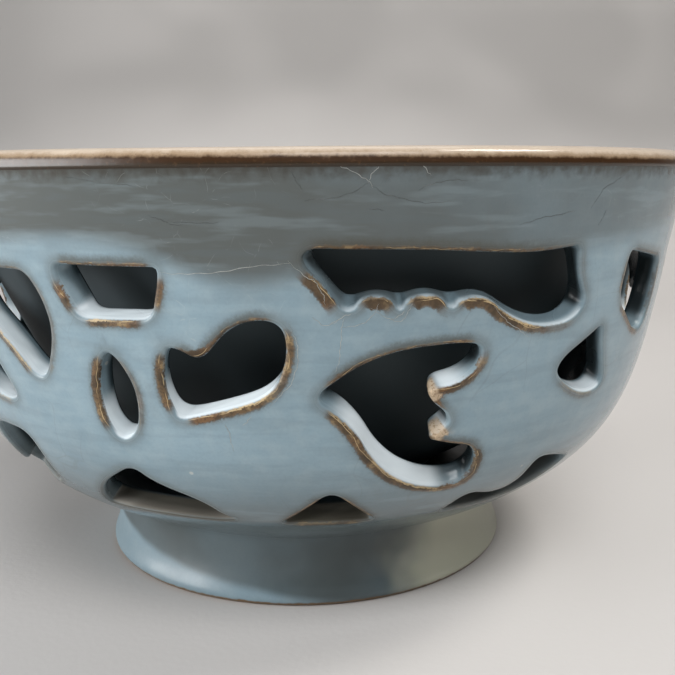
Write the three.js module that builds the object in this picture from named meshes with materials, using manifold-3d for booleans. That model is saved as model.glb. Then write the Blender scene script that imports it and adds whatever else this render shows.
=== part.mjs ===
import * as THREE from 'three';
import { mergeVertices } from 'three/addons/utils/BufferGeometryUtils.js';
import Module from 'manifold-3d';

const wasm = await Module();
wasm.setup();

// A double-walled tea bowl. The bowl's axis is Z, it stands on z = 0, and -Y is its front.
// Driving dimensions, in millimetres.
const BOWL_HEIGHT = 66;
const RIM_RADIUS = 62.5;
const FOOT_RADIUS = 35;
const FOOT_TOP_RADIUS = 33.6;
const FOOT_HEIGHT = 10.3;
const FOOT_WIDTH = 4.8;
const JOINT_GAP = 0.3;

// The outer wall's profile as [radius, height]: one curve that sweeps out and turns up to the rim.
const WALL_START = [34.2, FOOT_HEIGHT + JOINT_GAP];
const WALL_LOWER_PULL = [57.3, 22];
const WALL_UPPER_PULL = [56.5, 29.1];
const WALL_TOP = [62.3, 63.9];

const SHELL_THICKNESS = 3;
const SHELL_RIM_THICKNESS = 2.8;
const SHELL_THINS_FROM = 57;
const SHELL_FLOOR = 14.4;

const LINER_THICKNESS = 3;
const LINER_FOOT_RADIUS = 20;
const LINER_FOOT_TOP = 16.2;
const LINER_LOWER_PULL = [40, 18.5];
const LINER_UPPER_PULL = [44, 33];
const LINER_TOP = [57.8, 63.9];
const WELL_DEPTH = 0.5;

const LIP_DEPTH = BOWL_HEIGHT - WALL_TOP[1] - JOINT_GAP;
const LIP_PROUD = 0.3;
const LIP_CROWN_RADIUS = 60;

const SEGMENTS = 44;
const EDGE_LENGTH = 8;
const CORNER_STEP = 3;

// The openings repeat four times. They were cut by hand, so the upper rows' spacing is uneven.
const UPPER_REPEATS = [0, 91.5, 183, 274.5];
const LOWER_REPEATS = [0, 90, 180, 270];

// Each outline's points are [degrees round the wall, millimetres up it, corner rounding].
const SMALL_PANE = [
  [-28.6, 53.3, 1], [-15.3, 53.3, 1], [-15.3, 51.7, 1.5], [-16.6, 46.8, 2.5], [-26, 46.7, 2.5],
  [-28.8, 51.5, 1.5],
];
const SLIM_LEAF = [
  [-23.5, 43.4, 3], [-25.4, 39.5, 5], [-25.7, 33.2, 5], [-23.8, 30.3, 2], [-20.6, 32.4, 4],
  [-19.7, 37.6, 5], [-21.4, 41.8, 4],
];
const BEAN = [
  [-15.8, 43.9, 1.5], [-16.8, 39.1, 4], [-15.4, 34.2, 1.5], [-10.3, 35.5, 8], [-3.6, 37.7, 5],
  [-1.5, 42.7, 6], [-2.3, 47.4, 3.5], [-7.6, 47.2, 5], [-11.8, 42.3, 1.5], [-14.1, 43.8, 2],
];
const CLOUD = [
  [0.6, 55.4, 1], [-0.6, 54.4, 1], [0, 52.8, 2], [1.7, 51.2, 3], [3.1, 49.1, 2], [3.9, 48, 0.7],
  [5.4, 48, 0.7], [6.2, 49.5, 1.2], [8.8, 49.6, 2], [9.9, 47.9, 0.5], [10.6, 47.9, 0.5],
  [11.4, 49.4, 1.2], [14.7, 49.4, 1.5], [15.7, 47.9, 0.5], [16.6, 47.8, 0.5], [17.5, 49, 1.5],
  [20.4, 48.9, 2], [23.7, 46.2, 3], [28.6, 44.4, 4], [34, 44.7, 4], [36.3, 47.3, 3],
  [34, 50.7, 2], [33.2, 54.7, 1], [28.5, 54.3, 3], [24, 54.2, 4], [13.1, 55, 4],
];
const CRANE = [
  [2.7, 39.4, 2], [1.3, 38.2, 1.2], [1.3, 36.8, 1], [3.5, 35.3, 2], [5.9, 32.4, 3],
  [7.6, 29.1, 3], [11.2, 25.2, 3], [16.5, 22.4, 4], [22.5, 22.4, 4], [23.6, 26.2, 3],
  [21.9, 29.6, 2], [19, 30.1, 2], [15.4, 31.3, 0.4], [18, 33, 1], [17.3, 34.8, 1],
  [15.4, 36.3, 1], [14.5, 37.8, 0.5], [18.5, 38.4, 3], [21.1, 41, 3], [20.7, 43.5, 1.5],
  [17.6, 43.9, 2], [10.5, 43.5, 5], [6, 41.8, 5],
];
const DROP = [
  [40.8, 43.9, 1], [41.7, 40.4, 3], [45, 35, 2], [42.9, 33.6, 2.5], [38, 34.3, 4], [32.6, 37.8, 3],
  [33.5, 40.1, 2],
];
const BROAD_LEAF = [
  [43.9, 53.5, 1.5], [56, 51.5, 1.5], [57, 46.2, 4], [55.3, 41.2, 3.5], [51.1, 41.1, 3],
  [43.3, 46.6, 2.5],
];
const LOW_LEAF = [
  [40.1, 52.5, 1.5], [52.3, 52.3, 1.5], [54.5, 48.9, 3], [55.1, 44.2, 4], [52.3, 38.4, 2.5],
  [50, 38.3, 2], [46.3, 42.7, 3], [40.8, 46.7, 2.5],
];
const LONG_ARCH = [
  [-35.1, 16.8, 2], [-31.3, 22.1, 4], [-23.7, 27, 2.5], [-21.2, 24.1, 3], [-14.8, 20.8, 3],
  [-12.7, 16.9, 2], [-10.6, 15.7, 0.8], [-13.6, 14.8, 2], [-23, 14.8, 5], [-35.4, 14.8, 1.5],
];
const SHORT_ARCH = [
  [-4.1, 15.1, 1], [0.2, 20, 4], [3.2, 23.4, 2.5], [6.6, 20, 4], [10.7, 15.1, 1], [9.9, 14.3, 1],
  [-3.3, 14.3, 1],
];
const WAVE = [
  [22.4, 14.2, 1.2], [24.4, 20, 2.5], [31.3, 17.7, 3], [34.7, 19.5, 2], [35.2, 24.5, 2],
  [38.5, 24.3, 3], [46.1, 21.9, 1.5], [44.2, 19, 3], [39.8, 15.3, 4], [31.6, 14.1, 3],
];
const HIGH_WAVE = [
  [22.6, 13.8, 1.2], [24.4, 20, 2.5], [31, 18.1, 3], [33.9, 21.1, 2], [35.6, 27.9, 2.5],
  [40.6, 29.3, 3], [47.7, 29.1, 2.5], [48.4, 24.6, 3], [47.2, 19.3, 2], [39.8, 15.6, 4],
  [32.5, 13.7, 3],
];

const radians = THREE.MathUtils.degToRad;
const flat = ([x, y]) => new THREE.Vector2(x, y);

const wall = new THREE.CubicBezierCurve(
  ...[WALL_START, WALL_LOWER_PULL, WALL_UPPER_PULL, WALL_TOP].map(flat),
);
const wallLength = wall.getLength();

const liner = new THREE.CubicBezierCurve(
  ...[[LINER_FOOT_RADIUS, LINER_FOOT_TOP], LINER_LOWER_PULL, LINER_UPPER_PULL, LINER_TOP].map(flat),
);

// A point of a profile curve, moved out along the curve's normal. The share is of the curve's length.
function offsetPoint(curve, share, outward) {
  const tangent = curve.getTangentAt(share);
  const normal = new THREE.Vector2(tangent.y, -tangent.x);
  return curve.getPointAt(share).addScaledVector(normal, outward);
}

// The place on the wall at an angle from the front, a distance up the wall and a depth out of it.
function onWall(degrees, up, outward) {
  const { x: radius, y: height } = offsetPoint(wall, up / wallLength, outward);
  const angle = radians(degrees);
  return [radius * Math.sin(angle), -radius * Math.cos(angle), height];
}

function shellThickness(up) {
  const share = THREE.MathUtils.smoothstep(up, SHELL_THINS_FROM, wallLength);
  return THREE.MathUtils.lerp(SHELL_THICKNESS, SHELL_RIM_THICKNESS, share);
}

function steps(count) {
  return Array.from({ length: count + 1 }, (_, i) => i / count);
}

function turned(points) {
  const geometry = new THREE.LatheGeometry(points, SEGMENTS);
  geometry.rotateX(Math.PI / 2);
  return geometry;
}

function toSolid(geometry) {
  const bare = geometry.clone();
  bare.deleteAttribute('normal');
  bare.deleteAttribute('uv');
  const merged = mergeVertices(bare, 1e-4);
  const mesh = new wasm.Mesh({
    numProp: 3,
    vertProperties: new Float32Array(merged.attributes.position.array),
    triVerts: new Uint32Array(merged.index.array),
  });
  return new wasm.Manifold(mesh);
}

function toGeometry(solid) {
  const mesh = solid.getMesh();
  const geometry = new THREE.BufferGeometry();
  geometry.setAttribute('position', new THREE.BufferAttribute(mesh.vertProperties, 3));
  geometry.setIndex(new THREE.BufferAttribute(mesh.triVerts, 1));
  geometry.computeVertexNormals();
  return geometry;
}

// The flat outline in millimetres, with every corner rounded by a short curve.
function roundedOutline(points, scale) {
  const corners = points.map(([degrees, up]) => new THREE.Vector2(degrees * scale, up));
  return corners.flatMap((corner, i) => {
    const before = corners.at(i - 1);
    const after = corners[(i + 1) % corners.length];
    const reach = (other) => Math.min(points[i][2], corner.distanceTo(other) / 2);
    const enter = corner.clone().lerp(before, reach(before) / corner.distanceTo(before));
    const leave = corner.clone().lerp(after, reach(after) / corner.distanceTo(after));
    const bend = new THREE.QuadraticBezierCurve(enter, corner, leave);
    return bend.getPoints(Math.max(1, Math.round(bend.getLength() / CORNER_STEP)));
  });
}

// Long straight edges are split, so that they follow the round wall.
function splitEdges(points) {
  return points.flatMap((point, i) => {
    const next = points[(i + 1) % points.length];
    const parts = Math.max(1, Math.round(point.distanceTo(next) / EDGE_LENGTH));
    return Array.from({ length: parts }, (_, k) => point.clone().lerp(next, k / parts));
  });
}

function withoutRepeats(points) {
  return points.filter((point, i) => point.distanceTo(points.at(i - 1)) > 0.3);
}

// A cutter for one opening: its outline bent round the wall and pushed square through it.
function cutter(points, turn) {
  const middle = points.reduce((sum, point) => sum + point[1], 0) / points.length;
  const scale = radians(1) * wall.getPointAt(middle / wallLength).x;
  const rounded = withoutRepeats(roundedOutline(points, scale));
  const inner = -SHELL_THICKNESS - 2;
  const outer = 8;
  const geometry = new THREE.ExtrudeGeometry(new THREE.Shape(splitEdges(rounded)), {
    depth: outer - inner,
    bevelEnabled: false,
    steps: 1,
  });
  const place = geometry.attributes.position;
  for (let i = 0; i < place.count; i += 1) {
    const degrees = place.getX(i) / scale + turn;
    place.setXYZ(i, ...onWall(degrees, place.getY(i), inner + place.getZ(i)));
  }
  return toSolid(geometry);
}

function repeated(outlines, turns) {
  return turns.flatMap((turn) => outlines.map((points) => cutter(points, turn)));
}

function openingCutters() {
  return [
    ...repeated([SMALL_PANE, SLIM_LEAF, BEAN, CLOUD, CRANE, DROP], UPPER_REPEATS),
    ...repeated([BROAD_LEAF], [UPPER_REPEATS[0], UPPER_REPEATS[2]]),
    ...repeated([LOW_LEAF], [UPPER_REPEATS[1], UPPER_REPEATS[3]]),
    ...repeated([LONG_ARCH, SHORT_ARCH], LOWER_REPEATS),
    ...repeated([WAVE], [LOWER_REPEATS[0], LOWER_REPEATS[2]]),
    ...repeated([HIGH_WAVE], [LOWER_REPEATS[1], LOWER_REPEATS[3]]),
  ];
}

function piercedShell() {
  const outer = steps(9).map((share) => wall.getPointAt(share));
  const inner = steps(7)
    .map((share) => offsetPoint(wall, share, -shellThickness(share * wallLength)))
    .filter((point) => point.y > SHELL_FLOOR)
    .reverse();
  inner[0].y = WALL_TOP[1];
  const floorEdge = new THREE.Vector2(inner.at(-1).x - 3, SHELL_FLOOR);
  const blank = toSolid(turned([
    new THREE.Vector2(0, WALL_START[1]),
    ...outer,
    ...inner,
    floorEdge,
    new THREE.Vector2(0, SHELL_FLOOR),
  ]));
  const cutters = openingCutters().reduce((all, one) => all.add(one));
  return toGeometry(blank.subtract(cutters));
}

function innerBowl() {
  const outer = steps(9).map((share) => liner.getPointAt(share));
  const inner = steps(9).map((share) => offsetPoint(liner, share, -LINER_THICKNESS)).reverse();
  inner[0].y = LINER_TOP[1];
  const base = SHELL_FLOOR + JOINT_GAP;
  return turned([
    new THREE.Vector2(0, base),
    new THREE.Vector2(LINER_FOOT_RADIUS, base),
    ...outer,
    ...inner,
    new THREE.Vector2(0, inner.at(-1).y - WELL_DEPTH),
  ]);
}

function ring(points) {
  const profile = points.map(flat);
  return turned([...profile, profile[0].clone()]);
}

// The rounded lip that caps both walls. It stands a little proud of the outer one.
function rimBand() {
  const base = BOWL_HEIGHT - LIP_DEPTH;
  const outside = RIM_RADIUS + LIP_PROUD;
  const inside = LINER_TOP[0] - LINER_THICKNESS - 0.2;
  const bead = new THREE.CubicBezierCurve(
    flat([outside - 0.5, base]),
    flat([outside + 0.2, base + 0.1]),
    flat([outside + 0.1, BOWL_HEIGHT]),
    flat([LIP_CROWN_RADIUS, BOWL_HEIGHT]),
  );
  const roll = new THREE.CubicBezierCurve(
    flat([LIP_CROWN_RADIUS, BOWL_HEIGHT]),
    flat([inside + 2, BOWL_HEIGHT]),
    flat([inside, BOWL_HEIGHT - 0.4]),
    flat([inside, base]),
  );
  const points = [...bead.getPoints(5), ...roll.getPoints(4).slice(1)];
  return ring(points.map((point) => [point.x, point.y]));
}

function footRing() {
  const inside = FOOT_RADIUS - FOOT_WIDTH;
  const flare = new THREE.QuadraticBezierCurve(
    flat([FOOT_RADIUS, 1.6]),
    flat([FOOT_TOP_RADIUS, 5]),
    flat([FOOT_TOP_RADIUS, FOOT_HEIGHT]),
  );
  const side = flare.getPoints(4).map((point) => [point.x, point.y]);
  return ring([
    [inside + 0.5, 0],
    [FOOT_RADIUS - 0.9, 0],
    [FOOT_RADIUS - 0.2, 0.6],
    ...side,
    [inside - 1.2, FOOT_HEIGHT],
    [inside, 0.8],
  ]);
}

// A fillet of slip fills the narrow wedge under the lip, where the two walls meet.
function rimSlipSeam() {
  const outside = WALL_TOP[0] - SHELL_RIM_THICKNESS - JOINT_GAP - 0.2;
  const inside = LINER_TOP[0] + JOINT_GAP + 0.1;
  return ring([
    [inside, WALL_TOP[1]],
    [inside - 0.5, 60],
    [outside - 1, 60],
    [outside, WALL_TOP[1]],
  ]);
}

function baseSlipSeam() {
  const inside = LINER_FOOT_RADIUS + JOINT_GAP;
  const floor = SHELL_FLOOR + JOINT_GAP;
  return ring([
    [inside, floor],
    [inside + 4, floor],
    [inside + 1.4, floor + 0.7],
    [inside, LINER_FOOT_TOP - JOINT_GAP],
  ]);
}

function footSlipSeam() {
  const outside = FOOT_RADIUS - FOOT_WIDTH - 1.2 - JOINT_GAP;
  return ring([
    [outside - 3, FOOT_HEIGHT],
    [outside - 1.3, FOOT_HEIGHT - 0.9],
    [outside, FOOT_HEIGHT - 3],
    [outside, FOOT_HEIGHT],
  ]);
}

function celadonGlaze() {
  return new THREE.MeshStandardMaterial({ color: 0x8fa5ae, roughness: 0.18, metalness: 0 });
}

function linerGlaze() {
  return new THREE.MeshStandardMaterial({ color: 0x7f959c, roughness: 0.2, metalness: 0 });
}

function ironBrownLip() {
  return new THREE.MeshStandardMaterial({ color: 0x8a6a4c, roughness: 0.35, metalness: 0 });
}

function firedSlip() {
  return new THREE.MeshStandardMaterial({ color: 0x8c8f88, roughness: 0.5, metalness: 0 });
}

function piece(name, geometry, material) {
  const mesh = new THREE.Mesh(geometry, material);
  mesh.name = name;
  return mesh;
}

const bowl = new THREE.Group();
bowl.add(
  piece('pierced_shell', piercedShell(), celadonGlaze()),
  piece('inner_bowl', innerBowl(), linerGlaze()),
  piece('rim_band', rimBand(), ironBrownLip()),
  piece('foot_ring', footRing(), celadonGlaze()),
  piece('rim_slip_seam', rimSlipSeam(), firedSlip()),
  piece('base_slip_seam', baseSlipSeam(), firedSlip()),
  piece('foot_slip_seam', footSlipSeam(), firedSlip()),
);

export default bowl;
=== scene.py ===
import math
from types import SimpleNamespace
from typing import NamedTuple

import bmesh
import bpy
import numpy as np
from mathutils import Matrix, Vector
from mathutils.geometry import delaunay_2d_cdt
from mathutils.kdtree import KDTree


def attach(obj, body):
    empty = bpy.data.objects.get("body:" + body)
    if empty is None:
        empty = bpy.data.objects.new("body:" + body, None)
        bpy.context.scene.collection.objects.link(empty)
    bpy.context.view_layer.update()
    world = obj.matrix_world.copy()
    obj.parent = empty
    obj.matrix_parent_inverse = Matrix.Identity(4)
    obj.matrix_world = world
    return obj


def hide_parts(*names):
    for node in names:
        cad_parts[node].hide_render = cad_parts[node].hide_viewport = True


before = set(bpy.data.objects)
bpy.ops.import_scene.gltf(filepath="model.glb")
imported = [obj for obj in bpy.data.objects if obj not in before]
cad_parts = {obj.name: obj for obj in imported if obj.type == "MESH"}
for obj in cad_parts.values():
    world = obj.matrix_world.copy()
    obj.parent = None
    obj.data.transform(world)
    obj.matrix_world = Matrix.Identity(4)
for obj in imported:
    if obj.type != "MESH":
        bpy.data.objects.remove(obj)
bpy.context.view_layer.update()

bl_info = {
    "name": "Openwork Tea Bowl",
    "version": (1, 0, 0),
    "blender": (4, 5, 0),
    "location": "3D View > Sidebar > Tea Bowl",
    "description": "Models a double-walled celadon tea bowl with a pierced outer shell",
    "category": "Add Mesh",
}

MM = 0.001
TURN = 2 * math.pi

# Sizes are in millimetres. A profile is the four pulls of one smooth curve, as (radius, height).
TOP_HEIGHT = 63.9
BASE_HEIGHT = 10.6
FLOOR_HEIGHT = 14.4
WALL_PULLS = ((34.2, BASE_HEIGHT), (57.3, 22.0), (56.5, 29.1), (62.3, TOP_HEIGHT))
LINER_PULLS = ((20.0, 16.2), (40.0, 18.5), (44.0, 33.0), (57.8, TOP_HEIGHT))
WALL_TOP_THICKNESS = 2.8
LINER_THICKNESS = 3.0
SLIP_GAP = 0.3
INNER_ARRIS = 0.45

# The sections of the lip and the foot.
LIP_CURVE = (
    (62.28, 63.62), (62.46, 63.9), (62.42, 64.4), (62.3, 65.0), (61.9, 65.55), (61.0, 65.9),
    (59.6, 65.98), (57.6, 65.9), (56.0, 65.6), (55.1, 65.0), (54.75, 64.3), (54.62, 63.7),
)
LIP_UNDERSIDE = ((55.6, 63.92), (58.5, 63.95), (61.6, 63.92))
LIP_START = 63.6
LIP_RISE = 2.4
FOOT_CURVE = (
    (34.05, 10.9), (33.72, 10.2), (33.55, 9.0), (33.6, 7.0), (33.8, 5.0), (34.2, 3.2),
    (34.7, 1.9), (34.88, 1.1), (34.65, 0.35), (34.0, 0.02), (32.4, 0.0), (30.9, 0.02),
    (30.4, 0.3), (30.15, 1.2), (29.8, 4.0), (29.3, 7.0), (28.9, 9.2), (28.3, 10.3), (27.4, 10.7),
)

# How many steps go round each turned edge, and how far apart the points are along a cut.
RIM_STEPS, BASE_STEPS = 288, 180
LINER_STEPS, LIP_STEPS, FOOT_STEPS = 224, 320, 256
CUT_STEP = 0.4
OUTLINE_STEP = 0.15

# How far from an opening's edge the skins have rows of points, and how far apart the rest are.
OUTER_ROWS, OUTER_SPACING = (0.05, 0.13, 0.25, 0.42, 0.68, 1.05, 1.6), 1.3
INNER_ROWS, INNER_SPACING = (0.14, 0.5), 3.2
INNER_START = 0.6
BORDER_GAP = 0.25

# Where a cut face has rows of points, from front to back, and the rings of the level surfaces.
FACE_SHARES = (0.12, 0.28, 0.46, 0.64, 0.82)
BASE_RADII = (34.0, 29.0, 18.0, 6.0)
FLOOR_RADII = (30.0, 18.0, 6.0)

# Each opening's corners are (degrees round the wall, millimetres up it, corner rounding).
OPENINGS = {
    "small_pane": (
        (-28.6, 53.3, 1), (-15.3, 53.3, 1), (-15.3, 51.7, 1.5), (-16.6, 46.8, 1.7),
        (-26.2, 46.6, 1.5), (-28.8, 51.5, 1.5),
    ),
    "slim_leaf": (
        (-23.5, 43.4, 3), (-25.4, 39.5, 5), (-25.7, 33.2, 5), (-23.8, 30.3, 2),
        (-20.6, 32.4, 4), (-19.7, 37.6, 5), (-21.4, 41.8, 4),
    ),
    "bean": (
        (-15.8, 43.9, 1.5), (-16.8, 39.1, 4), (-15.4, 34.2, 1.5), (-10.3, 35.5, 8),
        (-3.6, 37.7, 5), (-1.5, 42.7, 6), (-2.3, 47.4, 3.5), (-7.6, 47.2, 5),
        (-11.8, 42.3, 1.5), (-14.1, 43.8, 2),
    ),
    "cloud": (
        (0.6, 55.4, 1), (-0.6, 54.4, 1), (0, 52.8, 2), (1.7, 51.2, 3), (3.1, 49.1, 2),
        (3.9, 48, 0.7), (5.4, 48, 0.7), (6.2, 49.5, 1.2), (8.8, 49.6, 2), (9.9, 47.9, 0.5),
        (10.6, 47.9, 0.5), (11.4, 49.4, 1.2), (14.7, 49.4, 1.5), (15.7, 47.9, 0.5),
        (16.6, 47.8, 0.5), (17.5, 49, 1.5), (20.4, 48.9, 2), (23.7, 46.2, 3), (28.6, 44.4, 4),
        (34, 44.7, 4), (36.3, 47.3, 3), (34, 50.7, 2), (33.2, 54.7, 1), (28.5, 54.3, 3),
        (24, 54.2, 4), (13.1, 55, 4),
    ),
    "crane": (
        (2.7, 39.4, 2), (1.3, 38.2, 1.2), (1.3, 36.8, 1), (3.5, 35.3, 2), (5.9, 32.4, 3),
        (7.6, 29.1, 3), (11.2, 25.2, 3), (16.5, 22.4, 4), (22.5, 22.4, 4), (23.6, 26.2, 3),
        (21.9, 29.6, 2), (19, 30.1, 2), (15.4, 31.3, 0.4), (18, 33, 1), (17.3, 34.8, 1),
        (15.4, 36.3, 1), (14.5, 37.8, 0.5), (18.5, 38.4, 3), (21.1, 41, 3), (20.7, 43.5, 1.5),
        (17.6, 43.9, 2), (10.5, 43.5, 5), (6, 41.8, 5),
    ),
    "drop": (
        (40.8, 43.9, 1), (41.7, 40.4, 3), (45, 35, 2), (42.9, 33.6, 2.5),
        (38, 34.3, 4), (32.6, 37.8, 3), (33.5, 40.1, 2),
    ),
    "broad_leaf": (
        (43.9, 53.5, 1.5), (56, 51.5, 1.5), (57, 46.2, 4), (55.3, 41.2, 3.5),
        (51.1, 41.1, 3), (43.3, 46.6, 2.5),
    ),
    "low_leaf": (
        (40.1, 52.5, 1.5), (52.3, 52.3, 1.5), (54.5, 48.9, 3), (55.1, 44.2, 4),
        (52.3, 38.4, 2.5), (50, 38.3, 2), (46.3, 42.7, 3), (40.8, 46.7, 2.5),
    ),
    "long_arch": (
        (-35.1, 16.8, 2), (-31.3, 22.1, 4), (-23.7, 27, 2.5), (-21.2, 24.1, 3),
        (-14.8, 20.8, 3), (-12.7, 16.9, 2), (-10.6, 15.7, 0.8), (-13.6, 14.8, 2),
        (-23, 14.8, 5), (-35.4, 14.8, 1.5),
    ),
    "short_arch": (
        (-4.1, 15.1, 1), (0.2, 20, 4), (3.2, 23.4, 2.5), (6.6, 20, 4),
        (10.7, 15.1, 1), (9.9, 14.3, 1), (-3.3, 14.3, 1),
    ),
    "wave": (
        (22.4, 14.2, 1.2), (24.4, 20, 2.5), (31.3, 17.7, 3), (34.7, 19.5, 2),
        (35.2, 24.5, 2), (38.5, 24.3, 3), (46.1, 21.9, 1.5), (44.2, 19, 3),
        (39.8, 15.3, 4), (31.6, 14.1, 3),
    ),
    "high_wave": (
        (22.6, 13.8, 1.2), (24.4, 20, 2.5), (31, 18.1, 3), (33.9, 21.1, 2),
        (35.6, 27.9, 2.5), (40.6, 29.3, 3), (47.7, 29.1, 2.5), (48.4, 24.6, 3),
        (47.2, 19.3, 2), (39.8, 15.6, 4), (32.5, 13.7, 3),
    ),
}


class Cut(NamedTuple):
    """How one opening was cut and glazed, and the light and shade painted on its faces."""

    left: float = 0.0  # millimetres that the left face leans in beyond the usual
    below: float = 0.3  # the same for the lower face
    softness: float = 1.2  # how loosely the back follows the front
    brown: float = 1.0  # how brown the edge broke
    right_brown: float = 1.0  # the same on the right, as a share of it
    pale: float = 1.0  # how pale the lower face is: glaze pooling there, and painted light
    reach: float = 2.6  # how deep the pale glaze goes, in millimetres
    pale_left: float = 0.0  # the level up to which the left face is pale too, in painted light
    pale_from: float = -1.0  # where the pale glaze starts, from left (0) to right (1)
    pale_to: float = 2.0  # where it ends
    painted_low_shade: float = 0.0  # how dark the lower face is, in painted shade
    corners: float = 1.0  # how far the brown fades at the corners
    brown_to: float = 2.0  # where most of the brown ends, from left (0) to right (1)
    wide_left: float = 0.0  # how much wider than usual the brown is on the left
    worn: tuple = ()  # where the edge wore pale, as (degrees, millimetres up, radius)
    bare: tuple = ()  # where it stayed blue, in the same way


CUTS = {
    "small_pane": Cut(left=1.1, below=0.25, softness=0.9, pale=0.85, pale_left=0.12),
    "slim_leaf": Cut(below=0.05, right_brown=0.35, pale=0.9, pale_left=0.42),
    "bean": Cut(left=-0.6, below=0.15, pale_left=0.35),
    "cloud": Cut(
        left=0.4, softness=1.8, right_brown=0.3, pale=0.72, reach=0.3, pale_left=0.2,
        brown_to=0.8, wide_left=0.8,
    ),
    "crane": Cut(
        left=0.6, below=0.8, softness=1.0, pale=0.95, pale_left=1.2, pale_from=0.1, pale_to=0.8,
        corners=0.4, wide_left=0.3, worn=((14.9, 37.3, 1.3), (16.6, 31.7, 1.4)),
        bare=((1.2, 37.5, 3.2), (17.8, 34.0, 2.6), (20.7, 43.4, 2.2)),
    ),
    "drop": Cut(below=0.15, brown=0.25, right_brown=0.0, pale=0.85, reach=2.0),
    "broad_leaf": Cut(brown=0.5, right_brown=0.6, pale=0.25, reach=-0.6),
    "low_leaf": Cut(brown=0.65, right_brown=0.4, pale=0.7, reach=1.6, pale_left=1.2),
    "long_arch": Cut(below=-0.9, brown=0.1, pale=0.0, painted_low_shade=1.0),
    "short_arch": Cut(below=0.0, brown=0.8, pale=0.0, painted_low_shade=2.0),
    "wave": Cut(below=-0.7, brown=0.1, pale=0.0, painted_low_shade=0.45),
    "high_wave": Cut(below=-0.7, brown=0.1, pale=0.0, painted_low_shade=0.45),
}

# What each point of an edge knows: the two parts of its outward vector, how brown the edge is,
# how much wider than usual the brown is, how pale the edge wore on a sharp tip, how pale the
# face is from glaze pooling and painted light, how deep that goes and how dark the painted shade is.
TRAITS = ("rightward", "upward", "brown", "swell", "tip", "pale", "reach", "painted_low_shade")

# The pattern comes round four times. The upper rows are unevenly spaced.
UPPER_TURNS = (0, 91.5, 183, 274.5)
LOWER_TURNS = (0, 90, 180, 270)
PLACES = [
    (name, turn)
    for names, turns in (
        (("small_pane", "slim_leaf", "bean", "cloud", "crane", "drop"), UPPER_TURNS),
        (("broad_leaf",), UPPER_TURNS[::2]),
        (("low_leaf",), UPPER_TURNS[1::2]),
        (("long_arch", "short_arch"), LOWER_TURNS),
        (("wave",), LOWER_TURNS[::2]),
        (("high_wave",), LOWER_TURNS[1::2]),
    )
    for name in names for turn in turns
]

# Fine lines where the glaze has crazed, as (degrees, millimetres up the wall).
PALE_LINES = (
    ((-15.2, 52.6), (-12.4, 52.4), (-8.9, 52.7), (-5.1, 53.3), (-1.5, 53.7)),
    ((-1.6, 53.9), (0.1, 52.2), (1.0, 51.7), (1.9, 50.2), (2.2, 48.9)),
    ((3.2, 64.0), (4.8, 63.4), (6.2, 62.5), (6.9, 61.7)),
    ((7.5, 64.0), (6.9, 63.4), (6.3, 62.2)),
    ((11.3, 64.0), (11.9, 63.8), (12.6, 62.9)),
    ((-1.7, 46.9), (-0.9, 44.5), (-0.8, 42.4), (-1.4, 40.0), (-2.6, 38.3), (-4.2, 36.6)),
    ((-7.4, 34.1), (-6.8, 34.7), (-6.3, 35.3)),
    ((0.8, 47.6), (2.2, 46.5), (3.6, 47.3)),
    ((4.1, 47.4), (3.9, 45.6), (3.8, 43.2), (3.4, 40.9)),
    ((2.7, 46.6), (4.1, 47.5), (5.0, 47.9)),
    ((4.0, 46.3), (6.0, 46.6), (7.0, 47.3), (7.9, 48.9)),
    ((6.9, 48.4), (8.6, 47.4), (10.1, 46.7), (11.0, 47.6), (11.5, 48.8)),
    ((9.0, 46.9), (10.3, 47.5), (10.8, 48.1)),
    ((21.3, 47.9), (23.2, 46.1), (24.9, 44.9), (26.8, 43.7)),
    ((-9.5, 34.2), (-9.1, 32.8), (-8.9, 30.3)),
)
DARK_LINES = (
    ((6.9, 61.7), (8.1, 61.0), (10.1, 60.4), (12.6, 60.0), (15.3, 60.1)),
    ((6.3, 62.2), (5.2, 61.4), (2.7, 60.6), (0.1, 60.4)),
    ((11.4, 61.3), (13.0, 62.1), (15.0, 62.4), (16.5, 62.3)),
    ((33.6, 59.0), (35.2, 61.1), (37.0, 62.0), (38.7, 62.7)),
    ((35.4, 56.8), (36.1, 57.8), (36.3, 58.6)),
    ((6.5, 59.4), (7.9, 59.3)),
    ((23.4, 57.3), (25.7, 57.9), (27.8, 58.2), (31.0, 58.7)),
    ((-15.5, 58.8), (-14.5, 58.5), (-13.5, 58.0), (-12.1, 57.8)),
    ((-13.0, 58.1), (-10.7, 58.1), (-8.3, 58.1)),
    ((-24.5, 63.1), (-22.0, 62.6), (-18.1, 62.2), (-16.7, 61.9)),
    ((-1.1, 63.4), (-0.5, 62.3), (-0.0, 61.3)),
)


def around(radius, angle, height):
    """Points round the bowl's axis. The angle is 0 at the front."""
    places = np.broadcast_arrays(radius * np.sin(angle), -radius * np.cos(angle), height)
    return np.stack(places, -1)


def round_turns(steps):
    return np.arange(steps) / steps * TURN


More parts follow.
